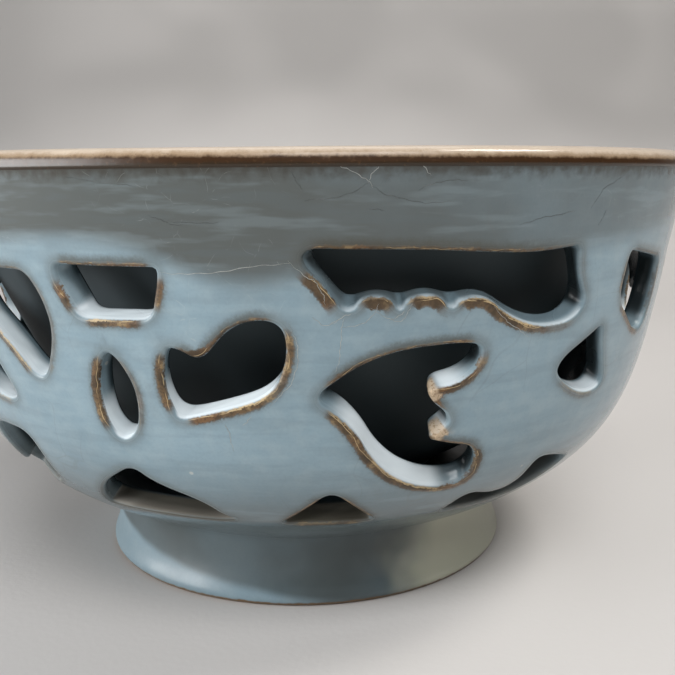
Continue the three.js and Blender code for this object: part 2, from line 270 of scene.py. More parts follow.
class Profile:
    """A turned surface, measured by the angle round it and the distance along its profile."""

    def __init__(self, pulls):
        t = np.linspace(0, 1, 800)[:, None]
        a, b, c, d = np.array(pulls, float)
        path = (1 - t)**3 * a + 3 * (1 - t)**2 * t * b + 3 * (1 - t) * t**2 * c + t**3 * d
        steps = np.hypot(*np.diff(path, axis=0).T)
        self.along = np.concatenate([[0], np.cumsum(steps)])
        self.length = self.along[-1]
        self.radius, self.height = path.T
        tangent = np.gradient(path, self.along, axis=0)
        tangent /= np.linalg.norm(tangent, axis=1)[:, None]
        self.out_radius, self.out_height = tangent[:, 1], -tangent[:, 0]
        mean = (self.radius[1:] + self.radius[:-1]) / 2
        growth = np.concatenate([[0], np.cumsum(steps / mean)])
        self.spread = self.radius[0] * np.exp(growth)

    def radius_at(self, up):
        return np.interp(up, self.along, self.radius)

    def spread_at(self, up):
        return np.interp(up, self.along, self.spread)

    def section(self, up, out):
        """The radius and height of points moved out along the surface's normal."""
        radius = self.radius_at(up) + out * np.interp(up, self.along, self.out_radius)
        height = np.interp(up, self.along, self.height)
        return radius, height + out * np.interp(up, self.along, self.out_height)

    def place(self, angle, up, out):
        radius, height = self.section(up, out)
        return around(radius, angle, height)

    def flatten(self, angle, up):
        """Spreads the surface on a flat ring that keeps every angle and small shape."""
        spread = self.spread_at(up)
        return np.stack([spread * np.cos(angle), spread * np.sin(angle)], -1)

    def unflatten(self, flat):
        angle = np.arctan2(flat[:, 1], flat[:, 0])
        up = np.interp(np.hypot(*flat.T), self.spread, self.along)
        return angle, up


WALL = Profile(WALL_PULLS)
LINER = Profile(LINER_PULLS)


def unevenness(angle, up, amount):
    """The slow waver that a thrown wall keeps, in millimetres."""
    return amount * (
        np.sin(2 * angle + 0.7)
        + 0.6 * np.sin(3 * angle - 1.9 + up / 21)
        + 0.35 * np.sin(5 * angle + 0.4 - up / 13)
        + 0.25 * np.sin(9 * angle + 1.3 + up / 9)
    )


def ripple(angle, up):
    """A short, soft ripple between -1 and 1, for edges that were cut by hand."""
    return (
        np.sin(23 * angle + up / 3.1) * np.sin(up / 2.3 - 11 * angle + 0.8)
        + 0.5 * np.sin(61 * angle - up / 1.7)
    ) / 1.5


def smoothstep(values, low, high):
    """0 at low and 1 at high, with soft ends. Low may be the larger."""
    share = np.clip((values - low) / (high - low), 0, 1)
    return share * share * (3 - 2 * share)


# Outlines of the openings


def rounded(corners, step):
    """A closed outline whose corners are bent round, with points about a step apart."""
    count = len(corners)
    points = []
    for i, (x, y, rounding) in enumerate(corners):
        corner = np.array([x, y])
        ways = [np.array(other[:2]) - corner for other in (corners[i - 1], corners[(i + 1) % count])]
        enter, leave = (corner + way * min(rounding / np.linalg.norm(way), 0.5) for way in ways)
        for t in np.linspace(0, 1, 12):
            points.append((1 - t)**2 * enter + 2 * t * (1 - t) * corner + t * t * leave)
    return evenly(np.array(points), step)


def evenly(points, step):
    closed = np.vstack([points, points[:1]])
    lengths = np.concatenate([[0], np.cumsum(np.hypot(*np.diff(closed, axis=0).T))])
    count = max(6, round(lengths[-1] / step))
    at = np.arange(count) / count * lengths[-1]
    return np.stack([np.interp(at, lengths, closed[:, k]) for k in (0, 1)], -1)


def outward(points):
    """Unit vectors square to a closed outline, away from its inside."""
    along = np.roll(points, -1, 0) - np.roll(points, 1, 0)
    along /= np.maximum(np.linalg.norm(along, axis=1), 1e-9)[:, None]
    x, y = points.T
    turning = np.sum(x * np.roll(y, -1) - np.roll(x, -1) * y)
    return np.stack([along[:, 1], -along[:, 0]], -1) * (1 if turning > 0 else -1)


def drawn_in(points, distance):
    """The outline moved inward, without the points that come too near it."""
    moved = points - outward(points) * distance
    gaps = np.linalg.norm(moved[:, None] - points[None], axis=2).min(1)
    return moved[gaps > distance * 0.96]


def softened(points, spread, step):
    """A closed outline whose small corners are worn away. It keeps its number of points."""
    reach = int(3 * spread / step)
    weights = np.exp(-0.5 * (np.arange(-reach, reach + 1) * step / spread)**2)
    weights /= weights.sum()
    return sum(
        weight * np.roll(points, shift, 0) for shift, weight in zip(range(-reach, reach + 1), weights)
    )


def bending(away):
    """How sharply a closed outline bends, per millimetre. Bumps into the opening are negative."""
    before, after = np.roll(away, 1, 0), np.roll(away, -1, 0)
    turn = before[:, 0] * after[:, 1] - before[:, 1] * after[:, 0]
    side = 1 if np.sum(turn) > 0 else -1
    return softened((side * turn / (2 * CUT_STEP))[:, None], 0.7, CUT_STEP)[:, 0]


def lean(away, left, below):
    """How far a cut face leans into its opening, in millimetres, from the side that it is on."""
    leftward, downward = np.maximum(0, -away).T
    return 0.1 - 0.35 * away[:, 0] - 0.3 * away[:, 1] + left * leftward + below * downward


class Opening:
    """One opening: the line where its cut face starts and the hole on the wall's inner side.

    Both are closed loops of angles and distances up the wall, with the same count of points.
    Each point's traits are told in TRAITS.
    """

    def __init__(self, name, turn, arris):
        made = CUTS[name]
        corners = OPENINGS[name]
        middle = sum(corner[1] for corner in corners) / len(corners)
        scale = math.radians(1) * float(WALL.radius_at(middle))
        edge = rounded([(x * scale, y, rounding) for x, y, rounding in corners], OUTLINE_STEP)
        cut = evenly(drawn_in(edge, arris / 2), CUT_STEP)
        away = outward(cut)
        inner = cut - away * (lean(away, made.left, made.below) - arris / 2)[:, None]
        back = softened(inner, made.softness, CUT_STEP)
        self.front = (np.radians(cut[:, 0] / scale + turn), cut[:, 1])
        self.back = (np.radians(back[:, 0] / scale + turn), back[:, 1])
        self.traits = glazing(made, cut, away, scale)


def glazing(made, cut, away, scale):
    """The traits of each point of an opening's edge, in the order of TRAITS."""
    across, level = ((cut - cut.min(0)) / np.ptp(cut, axis=0)).T
    rightward, upward = away.T
    bend = bending(away)
    low_corner = smoothstep(bend, 0.1, 0.3) * smoothstep(-upward, -0.1, 0.4)
    corner = made.corners * np.maximum(low_corner, smoothstep(bend, 0.22, 0.42))
    tip = near_spots(made.worn, cut, scale)
    brown = made.brown * (1 - corner) * (1 - (1 - made.right_brown) * smoothstep(rightward, 0.3, 0.8))
    brown *= 1 - near_spots(made.bare, cut, scale)
    brown *= 1 - 0.65 * smoothstep(across, made.brown_to - 0.08, made.brown_to + 0.08)
    down = smoothstep(-upward, 0.3, 0.8)
    leftmost = smoothstep(-rightward, 0.2, 0.7)
    hump = smoothstep(-bend, 0.05, 0.35)
    swell = np.maximum(hump, made.wide_left * leftmost)
    # Pale lower faces and the pale lower part of the left faces: glaze pooling there, and painted
    # light where the lamp reaches them.
    low = smoothstep(level, made.pale_left + 0.12, made.pale_left - 0.12)
    pale = np.maximum(down * (1 - leftmost * (1 - low)), leftmost * low)
    pale *= made.pale * (1 - 0.9 * hump) * (1 - 0.9 * tip)
    pale *= smoothstep(across, made.pale_from - 0.07, made.pale_from + 0.07)
    pale *= smoothstep(across, made.pale_to + 0.07, made.pale_to - 0.07)
    vague = softened(np.stack([rightward, upward, brown, pale], -1), 0.3, CUT_STEP)
    rightward, upward, brown, pale = vague.T
    return np.stack(np.broadcast_arrays(
        rightward, upward, brown, swell, tip, pale, made.reach, made.painted_low_shade,
    ), -1)


def near_spots(spots, cut, scale):
    """1 at the middle of each spot and 0 outside it, for each point of an edge."""
    near = np.zeros(len(cut))
    for angle, up, radius in spots:
        distance = np.hypot(*(cut - (angle * scale, up)).T)
        near = np.maximum(near, smoothstep(distance, radius, 0.5 * radius))
    return near


# A skin is one side of the wall, triangulated round the openings


class EdgeFinder:
    """Finds the nearest point of the openings' edges, and the traits that it carries."""

    def __init__(self, loops, traits):
        flats, kept = [], []
        for loop, trait in zip(loops, traits):
            flat = WALL.flatten(*loop)
            for share in np.arange(6) / 6:
                flats.append(flat + (np.roll(flat, -1, 0) - flat) * share)
                kept.append(trait + (np.roll(trait, -1, 0) - trait) * share)
        self.traits = np.concatenate(kept)
        points = np.concatenate(flats)
        self.tree = KDTree(len(points))
        for i, (x, y) in enumerate(points):
            self.tree.insert((x, y, 0), i)
        self.tree.balance()

    def find(self, flat, up):
        """The distance in millimetres and the traits, for each point."""
        found = [self.tree.find((x, y, 0)) for x, y in flat]
        gap = np.array([item[2] for item in found]) * WALL.radius_at(up) / WALL.spread_at(up)
        return gap, self.traits[[item[1] for item in found]]


def ring_points(loops, distances):
    """Points beside each loop, at set distances from it. The last row has half of them."""
    angles, ups, wanted = [], [], []
    for angle, up in loops:
        radius = WALL.radius_at(up)
        metric = np.stack([angle * radius.mean(), up], -1)
        away = outward(metric)
        for k, distance in enumerate(distances):
            keep = slice(None, None, 2) if k == len(distances) - 1 else slice(None)
            angles.append((angle + away[:, 0] * distance / radius)[keep])
            ups.append((up + away[:, 1] * distance)[keep])
            wanted.append(np.full(len(angles[-1]), distance))
    return np.concatenate(angles), np.concatenate(ups), np.concatenate(wanted)


def grid_points(low, spacing):
    """Staggered rows of points that cover the wall."""
    angles, ups = [], []
    rows = int((WALL.length - low) / (spacing * 0.87))
    for row in range(1, rows):
        up = low + (WALL.length - low) * row / rows
        count = int(TURN * float(WALL.radius_at(up)) / spacing)
        angle = (np.arange(count) + 0.5 * (row % 2)) / count * TURN
        angles.append(angle)
        ups.append(np.full(count, up))
    return np.concatenate(angles), np.concatenate(ups)


def inside(polygon, points):
    """Which points lie inside a closed polygon."""
    x, y = points.T
    found = np.zeros(len(points), bool)
    for (x1, y1), (x2, y2) in zip(polygon, np.roll(polygon, -1, 0)):
        crosses = (y1 > y) != (y2 > y)
        with np.errstate(divide="ignore", invalid="ignore"):
            at = x1 + (y - y1) * (x2 - x1) / (y2 - y1)
        found ^= crosses & (x < at)
    return found


def skin(loops, traits, low, distances, spacing):
    """Returns angles, distances up, edge distances, traits, triangles and the border loops."""
    finder = EdgeFinder(loops, traits)
    high = WALL.length
    circles = [
        (round_turns(steps), np.full(steps, up))
        for steps, up in ((BASE_STEPS, low), (RIM_STEPS, high))
    ]
    borders = circles + list(loops)
    near = ring_points(loops, distances)
    field = grid_points(low, spacing)
    free_angle = np.concatenate([near[0], field[0]])
    free_up = np.concatenate([near[1], field[1]])
    least = np.concatenate([near[2] * 0.97, np.full(len(field[0]), distances[-1] + spacing * 0.45)])
    within = (free_up > low + BORDER_GAP) & (free_up < high - BORDER_GAP)
    free_flat = WALL.flatten(free_angle, free_up)
    gap, _ = finder.find(free_flat, free_up)
    border_flat = [WALL.flatten(*border) for border in borders]
    keep = within & (gap >= least)
    for loop in border_flat[2:]:
        keep &= ~inside(loop, free_flat)
    flat = np.concatenate(border_flat + [free_flat[keep]])
    starts = np.cumsum([0] + [len(points) for points in border_flat])
    edges = []
    for start, stop in zip(starts, starts[1:]):
        edges += [(i, i + 1) for i in range(start, stop - 1)] + [(stop - 1, start)]
    verts, _, faces, origins, _, _ = delaunay_2d_cdt(
        [Vector(point) for point in flat], edges, [], 0, 1e-5, True,
    )
    where = {source: i for i, sources in enumerate(origins) for source in sources}
    flat_now = np.array([tuple(vert) for vert in verts])
    rings = [np.array([where[i] for i in range(a, b)]) for a, b in zip(starts, starts[1:])]
    triangles = np.array([face for face in faces if len(face) == 3])
    bridging = np.flatnonzero(np.isin(triangles, np.concatenate(rings)).all(1))
    centres = flat_now[triangles[bridging]].mean(1)
    holes = [rings[0], *rings[2:]]
    filling = np.any([inside(flat_now[ring], centres) for ring in holes], axis=0)
    triangles = np.delete(triangles, bridging[filling], axis=0)
    angle, up = WALL.unflatten(flat_now)
    edge, traits = finder.find(flat_now, up)
    for ring in rings[2:]:
        edge[ring] = 0
    return angle, up, edge, traits, triangles, rings


def quarter_round(distance, radius):
    """How deep a rounded edge lies below the surface, at a distance from the cut."""
    left = np.clip(1 - distance / radius, 0, 1)
    return radius * (1 - np.sqrt(1 - left * left))


class Builder:
    """Gathers a mesh's points and faces, and some named values for every point."""

    def __init__(self, *names):
        self.names = names
        self.points, self.values, self.faces, self.count = [], [], [], 0

    def add(self, points, *values):
        """Adds points. Each value is one number or one for each point, in the names' order."""
        start = self.count
        self.points.append(points)
        self.values.append([np.broadcast_to(value, len(points)) for value in values])
        self.count += len(points)
        return np.arange(start, self.count)

    def band(self, first, second):
        """Joins two closed rows of points that have the same count."""
        quads = np.stack([first, np.roll(first, -1), np.roll(second, -1), second], -1)
        self.faces += quads.tolist()

    def bands(self, rows):
        for first, second in zip(rows, rows[1:]):
            self.band(first, second)

    def cap(self, ring, height, *values):
        """Closes a ring with faces that meet on the axis."""
        centre = int(self.add(np.array([[0, 0, height]]), *values)[0])
        self.faces += [[a, b, centre] for a, b in zip(ring.tolist(), np.roll(ring, -1).tolist())]

    def finish(self, name):
        mesh = bpy.data.meshes.new(name)
        mesh.from_pydata((np.concatenate(self.points) * MM).tolist(), [], self.faces)
        mesh.polygons.foreach_set("use_smooth", [True] * len(mesh.polygons))
        for value_name, parts in zip(self.names, zip(*self.values)):
            attribute = mesh.attributes.new(value_name, "FLOAT", "POINT")
            attribute.data.foreach_set("value", np.concatenate(parts).astype(np.float32))
        mesh.validate()
        turn_outward(mesh)
        mesh.set_sharp_from_angle(angle=math.radians(55))
        return add_object(name, mesh)


def add_object(name, data):
    thing = bpy.data.objects.new(name, data)
    bpy.context.scene.collection.objects.link(thing)
    return thing


def turn_outward(mesh):
    """Makes every face of a closed mesh look away from its inside."""
    work = bmesh.new()
    work.from_mesh(mesh)
    bmesh.ops.recalc_face_normals(work, faces=work.faces)
    work.to_mesh(mesh)
    work.free()
    mesh.update()


def shell_depth(up, thickness):
    """The wall's thickness, which is less towards the top."""
    return thickness - (thickness - WALL_TOP_THICKNESS) * smoothstep(up, 57, WALL.length)


def pierced_shell(sizes):
    """The outer wall: two skins, the cut faces between them, the floor and the underside."""
    arris = sizes.arris / MM
    thickness = sizes.shell_thickness / MM
    waver = sizes.unevenness / MM
    openings = [Opening(name, turn, arris) for name, turn in PLACES]
    known = [opening.traits for opening in openings]
    builder = Builder("edge", *TRAITS, "thin")

    fronts = [opening.front for opening in openings]
    angle, up, edge, traits, triangles, outer_rings = skin(
        fronts, known, 0.0, OUTER_ROWS, OUTER_SPACING,
    )
    wide = arris * (1 + 0.25 * ripple(angle / 2, up / 2))
    depth = np.where(edge == 0, arris, np.minimum(quarter_round(edge, wide), arris))
    places = WALL.place(angle, up, unevenness(angle, up, waver) - depth)
    ids = builder.add(places, edge - arris / 2, *traits.T, dark_grey_glaze(places))
    builder.faces += ids[triangles].tolist()
    outer_rings = [ids[ring] for ring in outer_rings]

    backs = [opening.back for opening in openings]
    angle, up, edge, traits, triangles, inner_rings = skin(
        backs, known, INNER_START, INNER_ROWS, INNER_SPACING,
    )
    depth = shell_depth(up, thickness) - quarter_round(edge, INNER_ARRIS)
    places = WALL.place(angle, up, unevenness(angle, up, waver) - depth)
    ids = builder.add(places, -depth, *traits.T, 0)
    builder.faces += ids[triangles].tolist()
    inner_rings = [ids[ring] for ring in inner_rings]

    for opening, front, back in zip(openings, outer_rings[2:], inner_rings[2:]):
        cut_face(builder, opening, front, back, arris, thickness, waver)
    builder.band(outer_rings[1], inner_rings[1])
    close_bottom(builder, outer_rings[0], BASE_HEIGHT, BASE_RADII, thickness)
    close_bottom(builder, inner_rings[0], FLOOR_HEIGHT, FLOOR_RADII, -thickness)
    return builder.finish("openwork_shell")


def cut_face(builder, opening, front, back, arris, thickness, waver):
    """The face that the knife left, from the rounded front edge to the back one."""
    (front_angle, front_up), (back_angle, back_up) = opening.front, opening.back
    end = shell_depth(back_up, thickness) - INNER_ARRIS
    rows = [front]
    for share in FACE_SHARES:
        angle = front_angle + (back_angle - front_angle) * share
        up = front_up + (back_up - front_up) * share
        push = 0.1 * ripple(angle * 1.3 + share, up + 5 * share) * math.sin(math.pi * share)
        away_x, away_y = opening.traits.T[:2] * push
        depth = arris + (end - arris) * share
        places = WALL.place(
            angle + away_x / WALL.radius_at(up), up + away_y, unevenness(angle, up, waver) - depth,
        )
        rows.append(builder.add(places, arris / 2 - depth, *opening.traits.T, 0))
    builder.bands([*rows, back])


def close_bottom(builder, ring, height, radii, edge):
    """A level floor inside a ring, in narrowing rows down to its centre."""
    turns = round_turns(len(ring))
    for radius in radii:
        row = builder.add(around(radius, turns, height), edge, *[0] * len(TRAITS), 0)
        builder.band(ring, row)
        ring = row
    builder.cap(ring, height, edge, *[0] * len(TRAITS), 0)


def dark_grey_glaze(places):
    """Where the wall is dark grey below the lip, from 0 to 1, more on the left than on the right. Its
    lower border wanders.
    """
    x, y, z = places.T
    angle = np.arctan2(x, -y)
    quarter = np.mod(angle + math.pi / 4, math.pi / 2) - math.pi / 4
    border = 55.5 - 1.3 * np.sin(4 * quarter) - 4.6 * np.exp(-((quarter + 0.12) / 0.17)**2)
    return smoothstep(z, border - 2.2, border + 1.4) * (0.9 - 0.36 * np.sin(angle))


def smooth_path(points, count):
    """Points along a curve that passes through the given ones."""
    points = np.array(points, float)
    padded = np.vstack([2 * points[0] - points[1], points, 2 * points[-1] - points[-2]])
    result = []
    for a, b, c, d in zip(padded, padded[1:], padded[2:], padded[3:]):
        for t in np.arange(count) / count:
            result.append(0.5 * (
                2 * b + (c - a) * t + (2 * a - 5 * b + 4 * c - d) * t**2
                + (3 * b - a - 3 * c + d) * t**3
            ))
    result.append(points[-1])
    return np.array(result)


def turned(name, section, steps, up, waver, dip=None):
    """A piece whose section closes on itself. It wavers as the wall does at a distance up."""
    builder = Builder()
    turns = round_turns(steps)
    swell = unevenness(turns, up, waver)
    rows = []
    for radius, height in section:
        lift = dip(turns, height) if dip else 0
        rows.append(builder.add(around(radius + swell, turns, height + lift)))
    builder.bands([*rows, rows[0]])
    return builder.finish(name)


def rolled_lip(waver):
    """The lip, which dips a little four times round."""
    def dip(turns, height):
        low = 0.02 * np.sin(7 * turns) - 0.08 * np.cos(4 * turns) - 0.1
        return low * (height - LIP_START) / LIP_RISE

    section = np.vstack([smooth_path(LIP_CURVE, 3), LIP_UNDERSIDE])
    return turned("rolled_lip", section, LIP_STEPS, WALL.length, 0.9 * waver, dip)


def ring_foot(waver):
    """The foot, whose smooth section is cut level where it rests."""
    section = smooth_path(FOOT_CURVE, 3)
    section[:, 1] = np.maximum(section[:, 1], 0)
    return turned("ring_foot", section, FOOT_STEPS, 0, 0.6 * waver)


def tea_liner(waver):
    """The liner, with the soft rings that fingers left in it. Each side closes on the axis."""
    ups = np.linspace(0, LINER.length, 60)
    rings = 0.07 * np.sin(ups / 1.15) * smoothstep(ups, 0, 8) * smoothstep(ups, 58, 46)
    under = FLOOR_HEIGHT + SLIP_GAP
    outer = [(6.0, under), (19.6, under), *zip(*LINER.section(ups, 0))]
    radii, heights = LINER.section(ups, rings - LINER_THICKNESS)
    heights[-1] = TOP_HEIGHT
    inner = list(zip(radii[::-1], heights[::-1]))
    radius, height = inner[-1]
    inner += [(radius * share, height - 0.5 * (1 - share**2)) for share in (0.75, 0.5, 0.25, 0.08)]
    builder = Builder("side")
    turns = round_turns(LINER_STEPS)
    rows = []
    for section, side in ((outer, -1.0), (inner, 1.0)):
        for radius, height in section:
            swell = unevenness(turns, height, waver) * min(1, radius / 30)
            rows.append(builder.add(around(radius + swell, turns, height), side))
    builder.bands(rows)
    builder.cap(rows[0], outer[0][1], -1.0)
    builder.cap(rows[-1], inner[-1][1], 1.0)
    return builder.finish("tea_liner")


# Materials


class Value:
    """A node socket that can be used in Python expressions."""

    def __init__(self, look, socket):
        self.look = look
        self.socket = socket

    def __add__(self, other):
        return self.look.maths("ADD", self, other)

    def __mul__(self, other):
        return self.look.maths("MULTIPLY", self, other)

    def __sub__(self, other):
        return self.look.maths("SUBTRACT", self, other)

    def __rsub__(self, other):
        return self.look.maths("SUBTRACT", other, self)

    def __abs__(self):
        return self.look.maths("ABSOLUTE", self)

    __radd__ = __add__
    __rmul__ = __mul__

    def smooth(self, low, high):
        """0 at low and 1 at high, with soft ends. Low may be the larger."""
        start, stop, ends = (low, high, (0.0, 1.0)) if low < high else (high, low, (1.0, 0.0))
        return self.look.node(
            "ShaderNodeMapRange", {"interpolation_type": "SMOOTHSTEP"},
            {"Value": self, "From Min": start, "From Max": stop, "To Min": ends[0], "To Max": ends[1]},
        )


class Look:
    """A material whose values are Python expressions and whose colour is laid on in coats."""

    def __init__(self, name, base, ior=1.5):
        self.material = bpy.data.materials.new(name)
        self.material.use_nodes = True
        self.tree = self.material.node_tree
        self.shader = self.tree.nodes["Principled BSDF"]
        self.shader.inputs["IOR"].default_value = ior
        self.here = self.node("ShaderNodeTexCoord", output="Object")
        self.base = base

    def node(self, kind, settings=None, inputs=None, output=0):
        node = self.tree.nodes.new(kind)
        for name, value in (settings or {}).items():
            setattr(node, name, value)
        for name, value in (inputs or {}).items():
            if isinstance(value, Value):
                self.tree.links.new(value.socket, node.inputs[name])
            else:
                node.inputs[name].default_value = value
        return Value(self, node.outputs[output])

    def maths(self, operation, *values):
        return self.node("ShaderNodeMath", {"operation": operation}, dict(enumerate(values)))

    def vector(self, operation, first, second):
        return self.node("ShaderNodeVectorMath", {"operation": operation}, {0: first, 1: second})

    def place(self, axis):
        return self.node("ShaderNodeSeparateXYZ", None, {0: self.here}, axis)

    def attribute(self, name):
        return self.node("ShaderNodeAttribute", {"attribute_name": name}, output="Fac")

    def noise(self, scale, detail=2.0, where=None, distortion=0.0, output=0):
        inputs = {"Vector": where or self.here, "Scale": scale}
        inputs.update({"Detail": detail, "Distortion": distortion})
        return self.node("ShaderNodeTexNoise", None, inputs, output)

    def cells(self, scale, where=None, feature="F1"):
        inputs = {"Vector": where or self.here, "Scale": scale}
        return self.node("ShaderNodeTexVoronoi", {"feature": feature}, inputs)

    def coats(self, *coats):
        """Lays coats over the base in turn. Each is (share, colour)."""
        for share, colour in coats:
            under, over = (
                end if isinstance(end, Value) else (*end, 1) for end in (self.base, colour)
            )
            inputs = {"Factor": share, "A": under, "B": over}
            self.base = self.node("ShaderNodeMix", {"data_type": "RGBA"}, inputs, "Result")

    def finish(self, roughness, relief=None, strength=0.3, depth=0.00012):
        links = {"Base Color": self.base, "Roughness": roughness}
        if relief:
            inputs = {"Height": relief, "Strength": strength, "Distance": depth}
            links["Normal"] = self.node("ShaderNodeBump", None, inputs)
        for name, value in links.items():
            self.tree.links.new(value.socket, self.shader.inputs[name])
        return self.material


def shaken(look, scale, amount):
    """Coordinates pushed about by noise, so that straight cells wander."""
    push = look.vector("SUBTRACT", look.noise(scale, 1.0, output="Color"), (0.5, 0.5, 0.5))
    return look.vector("ADD", look.here, look.vector("MULTIPLY", push, (amount,) * 3))


def crackle(look, scale, width):
    """1 on the cracks between wandering cells."""
    wandering = shaken(look, scale * 0.9, 0.006)
    return look.cells(scale, wandering, "DISTANCE_TO_EDGE").smooth(width, width * 0.25)


def dimmed(colour, share):
    return [part * share for part in colour]


def celadon(name, colours):
    """A look that starts as the glaze's own colour, with clouds, specks and pinholes."""
    look = Look(name, colours.glaze)
    clouds = look.noise(34, 3.0).smooth(0.3, 0.7)
    mottle = look.noise(420).smooth(0.35, 0.75)
    grain = look.noise(2600, 1.0).smooth(0.4, 0.75)
    pits = look.cells(260).smooth(0.09, 0.05) * look.noise(95, 0.0).smooth(0.6, 0.66)
    irons = look.cells(120, shaken(look, 60, 0.004)).smooth(0.045, 0.025)
    irons = irons * look.noise(70, 0.0).smooth(0.62, 0.68)
    look.coats(
        (clouds, colours.glaze_cloud),
        (mottle * 0.16, (0.42, 0.5, 0.52)),
        (grain * 0.07, (0.1, 0.13, 0.14)),
        (pits * 0.55, (0.62, 0.64, 0.6)),
        (irons * 0.7, (0.07, 0.06, 0.05)),
    )
    return look


def shell_material(colours):
    """The outer wall's glaze. Its parts share the mesh's named values and some noises."""
    look = celadon("pierced_celadon", colours)
    marks = SimpleNamespace(**{name: look.attribute(name) for name in ("edge", "thin", *TRAITS)})
    marks.fray = look.noise(900, 3.0)
    marks.fine = look.noise(3200)
    marks.patches = look.noise(45)
    marks.streaks = look.noise(60, 3.0).smooth(0.25, 0.7)
    marks.below = marks.upward.smooth(-0.3, -0.8)
    glaze_wall(look, colours, marks)
    browned = brown_edges(look, colours, marks)
    face, low_face_shade = glaze_faces(look, colours, marks)
    rounded_off = abs(marks.edge).smooth(0.5, 0.25)
    rough = 0.1 + 0.22 * browned + 0.06 * marks.streaks + 0.2 * rounded_off + 0.12 * face + 0.4 * low_face_shade
    relief = look.noise(210) * 0.6 + marks.fine * 0.12 + marks.fray * browned * 0.6
    return look.finish(rough, relief, 0.35)


def glaze_wall(look, colours, marks):
    """Dark grey below the lip, painted shade on the belly and just under the lip, brush marks and
    crackle.
    """
    height = look.place("Z") * 1000
    brushed = look.noise(85, 3.0, look.vector("MULTIPLY", look.here, (1, 1, 7)))
    top = height + (marks.fray - 0.5) * 2.2
    network = crackle(look, 105, 0.012) * marks.patches.smooth(0.52, 0.66)
    pale_network = crackle(look, 230, 0.008) * marks.fray.smooth(0.45, 0.6)
    look.coats(
        # Dark grey below the lip, as far as the mesh's thin value reaches.
        (marks.thin * (0.86 + 0.28 * marks.streaks), colours.dark_grey_glaze),
        # Painted shade: the belly darkens towards the foot, where it faces down.
        (height.smooth(32, 14) * 0.9, colours.dark_grey_glaze),
        (brushed.smooth(0.5, 0.66) * 0.14, (0.36, 0.47, 0.52)),
        (brushed.smooth(0.48, 0.34) * 0.14, (0.11, 0.15, 0.17)),
        # Painted shade on the wall just under the lip.
        (top.smooth(61.8, 64.0) * 0.88, (0.034, 0.029, 0.02)),
        (network * 0.14, (0.13, 0.13, 0.12)),
        (pale_network * marks.patches.smooth(0.5, 0.36) * 0.2, (0.5, 0.55, 0.54)),
    )


def brown_edges(look, colours, marks):
    """Iron brown where the glaze broke on an edge, with gold specks that are partly painted glints,
    and painted shade round the opening. Returns where the brown is.
    """
    edge, fine, swell, below = marks.edge, marks.fine, marks.swell, marks.below
    above = marks.upward.smooth(0.3, 0.8)
    ragged = edge + (marks.fray - 0.5) * 0.5 + (fine - 0.5) * 0.5
    fuzz = ragged.smooth(1.5, 0.3) * edge.smooth(-0.15, 0.1)
    wide = 0.6 + 0.1 * below + 0.6 * swell - 0.52 * above
    start = -0.25 + 0.17 * below + 0.1 * above
    band = (wide - ragged).smooth(-0.3, 0.2) * (ragged - start).smooth(-0.1, 0.08)
    browned = band * marks.brown
    patchy = look.noise(150)
    mixed = look.noise(620, 3.0)
    # Painted glints: a broken bright line along the edge and the inner part of the lower edges, partly
    # the tan of thin glaze and partly painted highlight.
    line = abs(edge - 0.1 - 1.2 * (look.noise(330) - 0.5)).smooth(0.05, 0.015)
    inner = (ragged - start).smooth(0.3, 0.1) * (0.9 * below + 0.25 * marks.rightward.smooth(0.2, 0.7))
    broken = look.noise(520, 1.0).smooth(0.42, 0.56)
    painted_glint = line * broken + inner * (1 - 0.75 * swell) * patchy.smooth(0.54, 0.44)
    look.coats(
        # Painted shade round each opening, fading out over 2.6 mm.
        (edge.smooth(2.6, 0.6) * 0.14, (0.08, 0.09, 0.08)),
        (fuzz * (0.25 + 0.45 * marks.brown), (0.06, 0.055, 0.038)),
        (browned * 0.95, colours.edge_brown),
        (browned * patchy.smooth(0.5, 0.62) * 0.5, (0.2, 0.09, 0.03)),
        (browned * mixed.smooth(0.48, 0.6) * 0.75, (0.035, 0.024, 0.012)),
        (browned * mixed.smooth(0.42, 0.34) * 0.6, (0.36, 0.26, 0.13)),
        (browned * fine.smooth(0.5, 0.62) * 0.5, (0.03, 0.022, 0.014)),
        (browned * swell * 0.7, (0.055, 0.032, 0.013)),
        (browned * painted_glint.smooth(0.0, 1.0) * 0.8, colours.edge_gold_and_glint),
    )
    return browned


